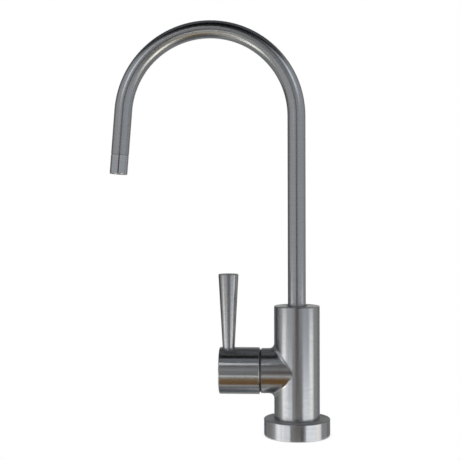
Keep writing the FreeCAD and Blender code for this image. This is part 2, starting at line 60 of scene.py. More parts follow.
def linear(hex_colour):
    """Linear RGB of an sRGB hex value such as b9b4ae."""
    parts = [int(hex_colour[i:i + 2], 16) / 255 for i in (0, 2, 4)]
    return tuple(p / 12.92 if p <= 0.04045 else ((p + 0.055) / 1.055) ** 2.4 for p in parts)


def add(tree, kind, inputs=None, **settings):
    """Adds one node, sets its properties, and fills or links its inputs by name or number."""
    node = tree.nodes.new(kind)
    for key, value in settings.items():
        setattr(node, key, value)
    for key, value in (inputs or {}).items():
        if isinstance(value, bpy.types.NodeSocket):
            tree.links.new(value, node.inputs[key])
        else:
            node.inputs[key].default_value = value
    return node


def colour_property(name, text, hex_colour):
    """A colour that a user may change."""
    return FloatVectorProperty(
        name=name, description=text, subtype="COLOR", size=3, min=0, max=1,
        default=linear(hex_colour),
    )


def length_property(name, text, metres, most):
    """A length that a user may change."""
    return FloatProperty(
        name=name, description=text, default=metres, min=0, max=most, unit="LENGTH"
    )


def share_property(name, text, share):
    """A value from 0 to 1 that a user may change."""
    return FloatProperty(
        name=name, description=text, default=share, min=0, max=1, subtype="FACTOR"
    )


class FaucetFinishes(bpy.types.PropertyGroup):
    """Colours and surface values of the faucet's finishes."""

    nickel: colour_property("Nickel", "Reflection colour of the brushed nickel plate", "cbcbcb")
    # Painted shade: a darker nickel at the bottom of each brush line
    nickel_groove_shade: colour_property(
        "Nickel in the grooves", "Colour at the bottom of the brush lines", "c1c1c0"
    )
    nickel_roughness: share_property(
        "Nickel roughness", "Mean roughness of the brushed plate", 0.22
    )
    nickel_anisotropy: share_property(
        "Nickel brushing", "How far the brush lines stretch a highlight", 0.6
    )
    hub_roughness: share_property("Hub roughness", "Mean roughness of the hub's side", 0.26)
    hub_anisotropy: share_property(
        "Hub brushing", "How far the hub's lines stretch a highlight", 0.7
    )
    end_roughness: share_property(
        "Turned end roughness", "Roughness of the flat turned ends", 0.42
    )
    base_roughness: share_property("Base roughness", "Mean roughness of the base's side", 0.17)
    base_end_roughness: share_property(
        "Base top roughness", "Roughness of the base's flat top", 0.6
    )
    spout_roughness: share_property(
        "Spout roughness", "Mean roughness of the polished tube", 0.23
    )
    spout_anisotropy: share_property(
        "Spout brushing", "How far the polish stretches a highlight", 0.4
    )
    # Painted light: the nickel set a shade lighter, so the sleeve looks brighter than the tube
    sleeve: colour_property("Sleeve nickel", "Reflection colour of the outlet sleeve", "dcdcdc")
    sleeve_roughness: share_property(
        "Sleeve roughness", "Mean roughness of the outlet sleeve", 0.08
    )
    # Real brush lines stand about 0.1 mm apart, too fine to show, so they are drawn coarser
    groove_spacing: length_property(
        "Brush line spacing", "From one brush line to the next", 0.45 * MM, 2 * MM
    )
    groove_length: length_property(
        "Brush line length", "Length of one brush line", 14 * MM, 60 * MM
    )
    bend_radius: length_property(
        "Spout bend radius", "Radius of the tube's centre line", 57.95 * MM, 200 * MM
    )
    leg_tilt: FloatProperty(
        name="Outlet tilt", description="How far the outlet leans from the vertical",
        subtype="ANGLE", default=math.radians(4.7), min=0, max=1,
    )
    brass: colour_property(
        "Brass", "Colour of the turned brass inside and below the deck", "d9b671"
    )
    # Painted shade: a darker brass at the bottom of each tool mark
    brass_mark_shade: colour_property(
        "Brass in the tool marks", "Colour at the bottom of the tool marks", "b48f4d"
    )
    steel: colour_property("Stainless steel", "Colour of the stamped stainless steel", "bfbfbc")
    # Rolled grain, and painted shade: a darker steel at the bottom of each grain line
    steel_grain_and_shade: colour_property("Steel in the grain", "Colour of the rolled grain", "a3a3a1")
    rubber: colour_property("Rubber", "Colour of the moulded seals", "1b1b1c")
    black_plastic: colour_property(
        "Black acetal", "Colour of the glide rings and deck washer", "151516"
    )
    white_plastic: colour_property(
        "White acetal", "Colour of the thrust washer and straightener", "e9e8e4"
    )
    ceramic: colour_property("Alumina", "Colour of the lapped valve discs", "f1efe9")


class FaucetStage(bpy.types.PropertyGroup):
    """Sizes and levels of the studio round the faucet."""

    camera_place: FloatVectorProperty(
        name="Camera", description="Where the camera stands", subtype="TRANSLATION",
        unit="LENGTH", default=(-0.0022, -0.6515, 0.1505),
    )
    camera_turn: FloatVectorProperty(
        name="Camera turn", description="Pitch up, roll and turn to the left from looking along +Y",
        subtype="EULER", default=(math.radians(-1.19), math.radians(0.2), math.radians(3.7)),
    )
    lens: FloatProperty(
        name="Lens", description="Focal length on a 36 mm sensor", unit="CAMERA",
        default=76.6, min=10, max=300,
    )
    plinth_margin: length_property(
        "Plinth margin", "How far the plinth shows round the base", 2 * MM, 0.1
    )
    plinth_height: length_property(
        "Plinth height", "From the floor to the faucet's base", 0.6, 2
    )
    floor_radius: length_property("Floor radius", "How far the pale floor reaches", 0.55, 10)
    hall_radius: length_property(
        "Hall radius", "How far away the hall's painted walls are", 20, 100
    )
    backdrop: colour_property("Background", "Colour of the plain background", "ffffff")
    floor: colour_property("Floor", "Colour of the pale floor", "f2f0ec")
    plinth: colour_property("Plinth", "Colour of the white plinth", "ffffff")
    brown_card: colour_property(
        "Brown card", "Colour of the card low in front of the handle", "9b7139"
    )
    slate_card: colour_property(
        "Slate card", "Colour of the card on the floor under the faucet", "838990"
    )
    soft_box_level: FloatProperty(
        name="Soft box level", description="Brightness of all the soft boxes",
        default=1.0, min=0, max=10,
    )


# Values of the lined metals. Noise at LINE_BOTTOM is the bottom of a line, painted in the dark
# colour as shade, and at LINE_TOP the metal between two lines. A face becomes a turned end
# by how squarely it looks along the lathe's axis. Roughness varies by the share UNEVEN or EVEN.
# A tangent's turn is given in whole turns.
LINE_BOTTOM, LINE_TOP = 0.3, 0.7
END_BEGINS, END_WHOLE = 0.8, 0.95
UNEVEN, EVEN = 0.15, 0.03
NO_TURN, QUARTER_TURN = 0.0, 0.25

# Lines of the bare metals, in metres. The real ones are several times finer, too fine to show, so
# they are drawn this coarse.
TOOL_MARK_SPACING, TOOL_MARK_LENGTH = 0.25 * MM, 20 * MM
GRAIN_LENGTH, GRAIN_WIDTH = 8 * MM, 0.2 * MM

# By what share the roughness of a moulded piece varies
MOULD_UNEVEN = 0.2

# Stage forms, in metres, and their paint. A glow is what camera and mirroring rays see of a card's
# colour. The plinth's paint returns only a share of its light, so that it hardly lights the base.
PLINTH_GAP = 0.05 * MM
PLINTH_GLOW, PLINTH_RETURN = 0.92, 0.3
DIM_GLOW = 0.3
FLOOR_THICKNESS = 0.02
DISC_SEGMENTS = 160
CARD_THICKNESS = 2 * MM
CARD_FIBRE, FIBRE_SHADE, CARD_ROUGHNESS = 3 * MM, 0.97, 0.9
BROWN_CARD_X, BROWN_CARD_Y, BROWN_CARD_Z = (-0.10, 0.035), (-0.215, -0.063), -0.08
SLATE_CARD_X, SLATE_CARD_Y = (-0.28, 0.28), (-0.15, 0.45)
HALL_SUBDIVISIONS = 4

# The camera's sensor, and the pitch that makes it look along +Y
SENSOR_WIDTH_MM = 36
LOOKING_LEVEL = math.radians(90)

# The studio round the faucet, by direction. Azimuth 0 is towards the camera, plus to its right, and
# all angles are in degrees. A later panel covers an earlier one. Its colour times its level is the
# light that it gives.
Panel = namedtuple("Panel", "name azimuth half_width elevation half_height edge hex_colour level")
PANELS = (
    Panel("ceiling behind", 180, 100, 70, 16, 10, "5d6064", 1.0),
    Panel("rear left wall", -155, 40, 10, 34, 10, "6a7078", 1.0),
    Panel("dark doorway", -118, 14, -8, 5, 5, "2e2c29", 1.0),
    Panel("left return", -98, 10, 8, 32, 6, "958d84", 1.0),
    Panel("left low return", -112, 22, -17, 6, 5, "9a9a9c", 1.0),
    Panel("rear right wall", 143, 46, 10, 34, 10, "868685", 1.0),
    Panel("right return", 110, 13, 10, 34, 6, "a1a2a5", 1.0),
    Panel("left inner panel", -21, 14, -4, 17, 5, "a9acb1", 1.0),
    Panel("right inner panel", 21, 14, -4, 17, 5, "a9acb1", 1.0),
    Panel("left panel", -62, 32, 11, 32, 6, "a9acb1", 1.0),
    Panel("right panel", 63, 34, 11, 32, 6, "a5abb3", 1.0),
    Panel("dark table edge", 3, 22, -17, 6.5, 4, "2e241c", 1.0),
    Panel("tripod", 0.5, 9, -12, 11, 6, "322921", 1.0),
    Panel("wall above the camera", 3, 13, 12, 5.5, 4, "95979a", 1.0),
    Panel("camera", 0.5, 8, -1.5, 8.5, 5, "554e48", 1.0),
    Panel("rear floor", 180, 95, -50, 26, 12, "8b8d90", 1.0),
    Panel("light bar", -3, 14, -19.5, 3, 3, "f4f6f8", 1.2),
    Panel("backdrop", 180, 18, -1.8, 14.4, 0.8, "ffffff", 1.0),
)
# Paint behind the panels, by elevation in degrees
HEIGHTS = (
    (-90, "9f9c97"), (-60, "aca99a"), (-44, "aca99a"), (-33, "a09f9b"), (-24, "8e8d8a"),
    (-14, "7a7875"), (24, "7c7c7c"), (32, "363839"), (48, "1e1f20"), (60, "0a0a0a"), (90, "0a0a0a"),
)

# Soft boxes near the faucet: place, point they face, width and height in metres, colour,
# brightness, and the angle that a grid in front of the box leaves open, in degrees
SoftBox = namedtuple("SoftBox", "name place aim width height hex_colour level spread")
SOFT_BOXES = (
    SoftBox(
        "strip_light", (-0.235, -0.70, 0.62), (-0.04, 0, -0.12),
        0.37, 0.13, "f4f6fa", 3.1, 46,
    ),
    SoftBox(
        "left_soft_box", (-0.425, -0.50, 0.45), (-0.108, 0, 0.241),
        0.20, 0.17, "e6ecfb", 1.05, 180,
    ),
    SoftBox(
        "right_soft_box", (0.335, -0.285, 0.46), (-0.008, 0, 0.241),
        0.18, 0.18, "e6ecfb", 0.75, 180,
    ),
    SoftBox(
        "handle_fill", (-0.046, -0.180, 0.294), (-0.046, -0.180, 0),
        0.176, 0.136, "d3dbe6", 0.68, 100,
    ),
    SoftBox(
        "left_low_box", (-0.365, -0.164, -0.047), (0, 0, -0.01),
        0.22, 0.17, "ffffff", 1.5, 42,
    ),
    SoftBox(
        "left_inner_low_box", (-0.269, -0.348, -0.083), (0, 0, 0.02),
        0.215, 0.10, "e8eaf0", 0.93, 180,
    ),
    SoftBox(
        "left_floor_box", (-0.445, -0.28, -0.190), (-0.28, 0, 0.25),
        0.15, 0.22, "ffffff", 3.9, 70,
    ),
    SoftBox(
        "crease_box", (-0.340, -0.270, -0.157), (-0.012, -0.013, 0.039),
        0.09, 0.08, "ffffff", 8.0, 13,
    ),
    SoftBox(
        "right_low_box", (0.387, -0.100, -0.045), (0, 0, -0.01),
        0.192, 0.17, "fffaf3", 1.2, 60,
    ),
    SoftBox(
        "right_inner_low_box", (0.320, -0.302, -0.083), (0, 0, 0.02),
        0.255, 0.10, "e8eaf0", 1.0, 180,
    ),
    SoftBox(
        "right_floor_box", (0.258, -0.283, -0.200), (-0.09, 0, 0.25),
        0.28, 0.14, "fffaf2", 1.75, 180,
    ),
)


def new_material(name):
    """An empty node material."""
    material = bpy.data.materials.new(name)
    material.use_nodes = True
    material.node_tree.nodes.clear()
    return material


def wear(node, material):
    """Gives a node's own object the material in every slot."""
    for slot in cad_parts[node].material_slots:
        slot.material = material


def lathe_lines(tree, axis, centre, radius, spacing, length):
    """Sockets of a pattern of lines turned round an axis, and of the direction the lines run."""
    place = add(tree, "ShaderNodeTexCoord").outputs["Object"]
    place = add(tree, VECTOR_MATH, {0: place, 1: centre}, operation="SUBTRACT").outputs[0]
    along = add(tree, VECTOR_MATH, {0: place, 1: axis}, operation="DOT_PRODUCT").outputs["Value"]
    shaft = add(tree, VECTOR_MATH, {0: axis, "Scale": along}, operation="SCALE").outputs[0]
    spoke = add(tree, VECTOR_MATH, {0: place, 1: shaft}, operation="SUBTRACT").outputs[0]
    reach = add(tree, VECTOR_MATH, {0: spoke}, operation="LENGTH").outputs["Value"]
    rim = add(tree, VECTOR_MATH, {0: spoke}, operation="NORMALIZE").outputs[0]
    rim = add(tree, VECTOR_MATH, {0: rim, "Scale": radius / length}, operation="SCALE").outputs[0]
    across = add(tree, MATH, {0: along, 1: reach}, operation="ADD").outputs[0]
    across = add(tree, MATH, {0: across, 1: 1 / spacing}, operation="MULTIPLY").outputs[0]
    across = add(tree, VECTOR_MATH, {0: axis, "Scale": across}, operation="SCALE").outputs[0]
    pattern = add(tree, VECTOR_MATH, {0: rim, 1: across}, operation="ADD").outputs[0]
    run = add(tree, VECTOR_MATH, {0: axis, 1: place}, operation="CROSS_PRODUCT").outputs[0]
    return pattern, run


def tube_lines(tree, centre, bend_radius, spacing, length):
    """Sockets of a pattern of lines round the bent spout, and of the way along its centre line."""
    place = add(tree, "ShaderNodeTexCoord").outputs["Object"]
    place = add(tree, VECTOR_MATH, {0: place, 1: centre}, operation="SUBTRACT").outputs[0]
    parts = add(tree, "ShaderNodeSeparateXYZ", {0: place}).outputs
    rise = add(tree, MATH, {0: parts["Z"], 1: 0.0}, operation="MAXIMUM").outputs[0]
    drop = add(tree, MATH, {0: parts["Z"], 1: 0.0}, operation="MINIMUM").outputs[0]
    side = add(tree, MATH, {0: parts["X"]}, operation="SIGN").outputs[0]
    turn = add(tree, MATH, {0: rise, 1: parts["X"]}, operation="ARCTAN2").outputs[0]
    straight = add(tree, MATH, {0: drop, 1: side}, operation="MULTIPLY").outputs[0]
    path = add(
        tree, MATH, {0: turn, 1: bend_radius, 2: straight}, operation="MULTIPLY_ADD"
    ).outputs[0]
    across = add(tree, MATH, {0: path, 1: 1 / spacing}, operation="MULTIPLY").outputs[0]
    girth = add(tree, MATH, {0: parts["Y"], 1: 1 / length}, operation="MULTIPLY").outputs[0]
    pattern = add(tree, "ShaderNodeCombineXYZ", {0: across, 1: girth}).outputs[0]
    back = add(tree, MATH, {0: rise, 1: -1.0}, operation="MULTIPLY").outputs[0]
    centre_line = add(tree, "ShaderNodeCombineXYZ", {"X": back, "Z": parts["X"]}).outputs[0]
    return pattern, centre_line


# Light colour, and dark colour painted as shade at the bottom of the lines, roughness on the
# sides and on the turned ends, stretch of the highlight, turn of the tangent from the direction
# given with the lines to the one across them, depth of the lines in metres, and by what share
# the roughness varies
Finish = namedtuple(
    "Finish", "light dark roughness end_roughness anisotropy tangent_turn depth unevenness"
)


def lined_metal(material, lines, axis, finish):
    """Fills a material with metal covered in fine lines, which draw a highlight out across them."""
    tree = material.node_tree
    pattern, direction = lines
    height = add(
        tree, "ShaderNodeTexNoise",
        {"Vector": pattern, "Scale": 1.0, "Detail": 3.0, "Roughness": 0.6},
    ).outputs["Fac"]
    # Painted shade: the dark colour goes to the bottom of each line, the light one between lines
    ramp = add(tree, "ShaderNodeValToRGB", {"Fac": height})
    for element, position, colour in zip(
        ramp.color_ramp.elements, (LINE_BOTTOM, LINE_TOP), (finish.dark, finish.light)
    ):
        element.position = position
        element.color = (*colour, 1)
    rough = add(
        tree, MAP_RANGE,
        {
            "Value": height, "From Min": LINE_BOTTOM, "From Max": LINE_TOP,
            "To Min": finish.roughness * (1 + finish.unevenness),
            "To Max": finish.roughness * (1 - finish.unevenness),
        },
    ).outputs[0]
    normal = add(tree, "ShaderNodeTexCoord").outputs["Normal"]
    facing = add(tree, VECTOR_MATH, {0: normal, 1: axis}, operation="DOT_PRODUCT").outputs["Value"]
    facing = add(tree, MATH, {0: facing}, operation="ABSOLUTE").outputs[0]
    end = add(
        tree, MAP_RANGE, {"Value": facing, "From Min": END_BEGINS, "From Max": END_WHOLE},
        interpolation_type="SMOOTHSTEP",
    ).outputs[0]
    rough = add(
        tree, "ShaderNodeMix", {0: end, 2: rough, 3: finish.end_roughness}, data_type="FLOAT"
    ).outputs[0]
    bump = add(
        tree, "ShaderNodeBump", {"Height": height, "Strength": 1.0, "Distance": finish.depth}
    ).outputs[0]
    tangent = add(
        tree, "ShaderNodeVectorTransform", {0: direction},
        vector_type="VECTOR", convert_from="OBJECT", convert_to="WORLD",
    ).outputs[0]
    shader = add(
        tree, "ShaderNodeBsdfPrincipled",
        {
            "Base Color": ramp.outputs["Color"],
            "Metallic": 1.0,
            "Roughness": rough,
            "Anisotropic": finish.anisotropy,
            "Anisotropic Rotation": finish.tangent_turn,
            "Normal": bump,
            "Tangent": tangent,
        },
    )
    add(tree, "ShaderNodeOutputMaterial", {"Surface": shader.outputs[0]})
    return material


class FAUCET_OT_brush_nickel(bpy.types.Operator):
    """Brush the nickel plate of the base, body, hub and lever"""

    bl_idname = "faucet.brush_nickel"
    bl_label = "Brush the Nickel"

    def execute(self, context):
        look = context.scene.faucet_finishes
        # Nickel plate brushed on a lathe: fine lines round the axis, which draw each reflection out
        # into soft bands along the axis, with a darker nickel painted as shade at the bottom of
        # each line. The base has the deepest lines and the smoothest metal between them. The hub
        # and lever curve tightly, so their lines are shallow and even, or their highlights would
        # break up into specks.
        plate = Finish(
            light=look.nickel, dark=look.nickel_groove_shade, roughness=look.nickel_roughness,
            end_roughness=look.end_roughness, anisotropy=look.nickel_anisotropy,
            tangent_turn=QUARTER_TURN, depth=0.0008 * MM, unevenness=UNEVEN,
        )
        base = plate._replace(
            roughness=look.base_roughness, end_roughness=look.base_end_roughness, depth=0.002 * MM
        )
        lever = plate._replace(depth=0.0004 * MM, unevenness=EVEN)
        hub = lever._replace(roughness=look.hub_roughness, anisotropy=look.hub_anisotropy)
        turned = (
            ("base_flange", UPRIGHT, ORIGIN, BASE_RADIUS, base),
            ("faucet_body", UPRIGHT, ORIGIN, COLUMN_RADIUS, plate),
            ("handle_hub", LEVEL, (0, 0, HANDLE_Z), COLUMN_RADIUS, hub),
            ("handle_lever", UPRIGHT, (LEVER_X, 0, 0), TUBE_RADIUS, lever),
        )
        for node, axis, centre, radius, finish in turned:
            material = new_material("lathe_brushed_nickel_" + node)
            lines = lathe_lines(
                material.node_tree, axis, centre, radius, look.groove_spacing, look.groove_length
            )
            wear(node, lined_metal(material, lines, axis, finish))
        return {"FINISHED"}


class FAUCET_OT_polish_spout(bpy.types.Operator):
    """Polish the nickel plate of the spout and its outlet sleeve"""

    bl_idname = "faucet.polish_spout"
    bl_label = "Polish the Spout"

    def execute(self, context):
        look = context.scene.faucet_finishes
        bend = (-look.bend_radius, 0, SPOUT_TOP - TUBE_RADIUS - look.bend_radius)
        # Nickel plate polished with a fine belt round the tube: its lines are shallower and more
        # even than the body's, so the bend shows clear light and dark bands, drawn out along it.
        # The bottom of each line is painted a darker nickel, as shade.
        material = new_material("belt_polished_nickel_spout")
        lines = tube_lines(
            material.node_tree, bend, look.bend_radius, look.groove_spacing, look.groove_length
        )
        finish = Finish(
            light=look.nickel, dark=look.nickel_groove_shade, roughness=look.spout_roughness,
            end_roughness=look.end_roughness, anisotropy=look.spout_anisotropy,
            tangent_turn=NO_TURN, depth=0.0001 * MM, unevenness=EVEN,
        )
        wear("spout_tube", lined_metal(material, lines, NO_AXIS, finish))
        # The sleeve is turned on a lathe and brushed finest, so its bands are the sharpest. Its
        # light colour is the nickel painted a shade lighter than the tube's, as painted light, and
        # the plain nickel is painted at the bottom of its lines as shade.
        low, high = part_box("outlet_sleeve")
        axis = (math.sin(look.leg_tilt), 0, math.cos(look.leg_tilt))
        material = new_material("lathe_brushed_nickel_outlet_sleeve")
        lines = lathe_lines(
            material.node_tree, axis, (low + high) / 2, TUBE_RADIUS,
            look.groove_spacing, look.groove_length,
        )
        # Painted light in the sleeve's lighter nickel, and painted shade in its line bottoms
        finish = finish._replace(
            light=look.sleeve, dark=look.nickel, roughness=look.sleeve_roughness,
            anisotropy=look.nickel_anisotropy, tangent_turn=QUARTER_TURN,
        )
        wear("outlet_sleeve", lined_metal(material, lines, axis, finish))
        return {"FINISHED"}


class FAUCET_OT_turn_brass(bpy.types.Operator):
    """Turn the brass pieces inside the faucet and under the deck"""

    bl_idname = "faucet.turn_brass"
    bl_label = "Turn the Brass"

    def execute(self, context):
        look = context.scene.faucet_finishes
        # Bare brass as it leaves the lathe: warm yellow with fine tool marks that glint in rings.
        # The bottom of each mark is painted a darker brass, as shade.
        finish = Finish(
            light=look.brass, dark=look.brass_mark_shade, roughness=0.28, end_roughness=0.34,
            anisotropy=0.5, tangent_turn=QUARTER_TURN, depth=0.003 * MM, unevenness=UNEVEN,
        )
        turned = {
            "threaded_shank": UPRIGHT, "spout_ferrule": UPRIGHT, "fixing_nut": UPRIGHT,
            "cartridge_housing": LEVEL, "valve_stem": LEVEL,
        }
        for node, axis in turned.items():
            centre = (0, 0, HANDLE_Z) if axis == LEVEL else ORIGIN
            material = new_material("turned_brass_" + node)
            lines = lathe_lines(
                material.node_tree, axis, centre, TUBE_RADIUS, TOOL_MARK_SPACING, TOOL_MARK_LENGTH
            )
            wear(node, lined_metal(material, lines, axis, finish))
        return {"FINISHED"}


class FAUCET_OT_stamp_steel(bpy.types.Operator):
    """Stamp the stainless steel washers, clips, screen and grub screw"""

    bl_idname = "faucet.stamp_steel"
    bl_label = "Stamp the Steel"

    def execute(self, context):
        look = context.scene.faucet_finishes
        # Stainless sheet with its rolled grain left on: cool grey, with faint straight streaks.
        # The bottom of each streak is painted a darker steel, as shade.
        material = new_material("rolled_stainless_steel")
        tree = material.node_tree
        place = add(tree, "ShaderNodeTexCoord").outputs["Object"]
        grain = (1 / GRAIN_LENGTH, 1 / GRAIN_WIDTH, 1 / GRAIN_WIDTH)
        pattern = add(tree, VECTOR_MATH, {0: place, 1: grain}, operation="MULTIPLY").outputs[0]
        run = add(tree, "ShaderNodeCombineXYZ", {"X": 1.0}).outputs[0]
        finish = Finish(
            light=look.steel, dark=look.steel_grain_and_shade, roughness=0.3, end_roughness=0.3,
            anisotropy=0.4, tangent_turn=QUARTER_TURN, depth=0.002 * MM, unevenness=UNEVEN,
        )
        lined_metal(material, (pattern, run), NO_AXIS, finish)
        for node in (
            "grub_screw", "stem_clip", "spout_snap_ring", "outlet_screen", "steel_washer",
            "lock_washer",
        ):
            wear(node, material)
        return {"FINISHED"}


def moulded(name, colour, shade, roughness, grain, depth):
    """A moulded or lapped material, with a grain in metres that breaks up its gloss.

    The real grain is too fine to show, so it is drawn coarser. Its darker tone is the given share
    of the colour.
    """
    material = new_material(name)
    tree = material.node_tree
    place = add(tree, "ShaderNodeTexCoord").outputs["Object"]
    noise = add(
        tree, "ShaderNodeTexNoise", {"Vector": place, "Scale": 1 / grain, "Detail": 2.0}
    ).outputs["Fac"]
    ramp = add(tree, "ShaderNodeValToRGB", {"Fac": noise})
    ramp.color_ramp.elements[0].color = (*(shade * c for c in colour), 1)
    ramp.color_ramp.elements[1].color = (*colour, 1)
    rough = add(
        tree, MAP_RANGE,
        {
            "Value": noise,
            "To Min": roughness * (1 - MOULD_UNEVEN), "To Max": roughness * (1 + MOULD_UNEVEN),
        },
    ).outputs[0]
    bump = add(
        tree, "ShaderNodeBump", {"Height": noise, "Strength": 1.0, "Distance": depth}
    ).outputs[0]
    shader = add(
        tree, "ShaderNodeBsdfPrincipled",
        {"Base Color": ramp.outputs["Color"], "Roughness": rough, "Normal": bump},
    )
    add(tree, "ShaderNodeOutputMaterial", {"Surface": shader.outputs[0]})
    return material


class FAUCET_OT_mould_seals(bpy.types.Operator):
    """Mould the rubber gasket and seal rings"""

    bl_idname = "faucet.mould_seals"
    bl_label = "Mould the Seals"

    def execute(self, context):
        look = context.scene.faucet_finishes
        # Nitrile rubber from a mould: dull black with a fine dusty grain and no sharp highlight.
        material = moulded(
            "moulded_nitrile_rubber", look.rubber,
            shade=0.75, roughness=0.65, grain=0.3 * MM, depth=0.006 * MM,
        )
        for node in ("base_gasket", "housing_o_ring", "seat_seal", "stem_o_rings", "spout_o_rings"):
            wear(node, material)
        return {"FINISHED"}


class FAUCET_OT_mould_plastics(bpy.types.Operator):
    """Mould the black and white acetal pieces"""

    bl_idname = "faucet.mould_plastics"
    bl_label = "Mould the Plastics"

    def execute(self, context):
        look = context.scene.faucet_finishes
        # Acetal from a polished mould: a soft waxy gloss, black where it lines a gap, white inside.
        black = moulded(
            "moulded_black_acetal", look.black_plastic,
            shade=0.85, roughness=0.42, grain=0.4 * MM, depth=0.003 * MM,
        )
        white = moulded(
            "moulded_white_acetal", look.white_plastic,
            shade=0.95, roughness=0.35, grain=0.5 * MM, depth=0.002 * MM,
        )
        for node in ("handle_glide_ring", "spout_glide_ring", "deck_washer"):
            wear(node, black)
        for node in ("spout_thrust_washer", "flow_straightener"):
            wear(node, white)
        return {"FINISHED"}


class FAUCET_OT_lap_ceramic(bpy.types.Operator):
    """Lap the two ceramic valve discs"""

    bl_idname = "faucet.lap_ceramic"
    bl_label = "Lap the Ceramic"

    def execute(self, context):
        look = context.scene.faucet_finishes
        # Alumina lapped flat: warm white with a tight, clear gloss and hardly any grain.
        material = moulded(
            "lapped_alumina_ceramic", look.ceramic,
            shade=0.97, roughness=0.16, grain=0.15 * MM, depth=0.0005 * MM,
        )
        for node in ("fixed_ceramic_disc", "moving_ceramic_disc"):
            wear(node, material)
        return {"FINISHED"}


def matt_card(name, colour, glow, returned=1.0):
    """Matt card or paint that camera, glossy and transmission rays see at a steady level.

    It keeps shadows, and its paint returns the given share of the light that falls on it.
    """
    material = new_material(name)
    tree = material.node_tree
    path = add(tree, "ShaderNodeLightPath").outputs
    seen = add(
        tree, MATH, {0: path["Is Camera Ray"], 1: path["Is Glossy Ray"]}, operation="MAXIMUM"
    ).outputs[0]
    seen = add(
        tree, MATH, {0: seen, 1: path["Is Transmission Ray"]}, operation="MAXIMUM"
    ).outputs[0]
    level = add(tree, MATH, {0: seen, 1: glow}, operation="MULTIPLY").outputs[0]
    place = add(tree, "ShaderNodeTexCoord").outputs["Object"]
    fibre = add(
        tree, "ShaderNodeTexNoise", {"Vector": place, "Scale": 1 / CARD_FIBRE, "Detail": 2.0}
    ).outputs["Fac"]
    ramp = add(tree, "ShaderNodeValToRGB", {"Fac": fibre})
    ramp.color_ramp.elements[0].color = (*(FIBRE_SHADE * c for c in colour), 1)
    ramp.color_ramp.elements[1].color = (*colour, 1)
    lit = add(
        tree, VECTOR_MATH, {0: ramp.outputs["Color"], "Scale": returned}, operation="SCALE"
    ).outputs[0]
    shader = add(
        tree, "ShaderNodeBsdfPrincipled",
        {
            "Base Color": lit, "Roughness": CARD_ROUGHNESS, "Specular IOR Level": 0.0,
            "Emission Color": ramp.outputs["Color"], "Emission Strength": level,
        },
    )
    add(tree, "ShaderNodeOutputMaterial", {"Surface": shader.outputs[0]})
    return material


def stage_piece(name, form, material):
    """Puts one finished form on the stage."""
    mesh = bpy.data.meshes.new(name)
    form.to_mesh(mesh)
    form.free()
    mesh.materials.append(material)
    piece = bpy.data.objects.new(name, mesh)
    bpy.context.scene.collection.objects.link(piece)
    return piece


def stage_disc(name, radius, bottom, top, material):
    """A round slab or column of the stage."""
    form = bmesh.new()
    middle = Matrix.Translation((0, 0, (top + bottom) / 2))
    bmesh.ops.create_cone(
        form, cap_ends=True, segments=DISC_SEGMENTS, radius1=radius, radius2=radius,
        depth=top - bottom, matrix=middle,
    )
    stage_piece(name, form, material)


def mirrored_card(name, x_range, y_range, bottom, material):
    """A flat card for the metal to mirror, out of the picture."""
    form = bmesh.new()
    size = Matrix.Diagonal((x_range[1] - x_range[0], y_range[1] - y_range[0], CARD_THICKNESS, 1))
    middle = Matrix.Translation((sum(x_range) / 2, sum(y_range) / 2, bottom + CARD_THICKNESS / 2))
    bmesh.ops.create_cube(form, size=1, matrix=middle @ size)
    card = stage_piece(name, form, material)
    card.visible_camera = False
    return card


def soft_box(box, level):
    """A rectangular light near the faucet, out of the picture."""
    data = bpy.data.lights.new(box.name, "AREA")
    data.shape = "RECTANGLE"
    data.size = box.width
    data.size_y = box.height
    half_spread = math.radians(box.spread) / 2
    data.spread = 2 * half_spread
    grid_share = 1 - half_spread / math.tan(half_spread)
    data.energy = level * box.level * math.pi * box.width * box.height * grid_share
    data.color = linear(box.hex_colour)
    light = bpy.data.objects.new(box.name, data)
    light.location = box.place
    light.visible_camera = False
    way = Vector(box.aim) - Vector(box.place)
    light.rotation_euler = way.to_track_quat("-Z", "Y").to_euler()
    bpy.context.scene.collection.objects.link(light)


def plain_world(scene, colour):
    """The plain background."""
    world = bpy.data.worlds.new("plain_background")
    world.use_nodes = True
    # The hall stands between the world and every surface, so only the camera sees the world
    world.cycles.sampling_method = "NONE"
    tree = world.node_tree
    tree.nodes.clear()
    background = add(tree, "ShaderNodeBackground", {"Color": (*colour, 1), "Strength": 1.0})
    add(tree, "ShaderNodeOutputWorld", {"Surface": background.outputs[0]})
    scene.world = world


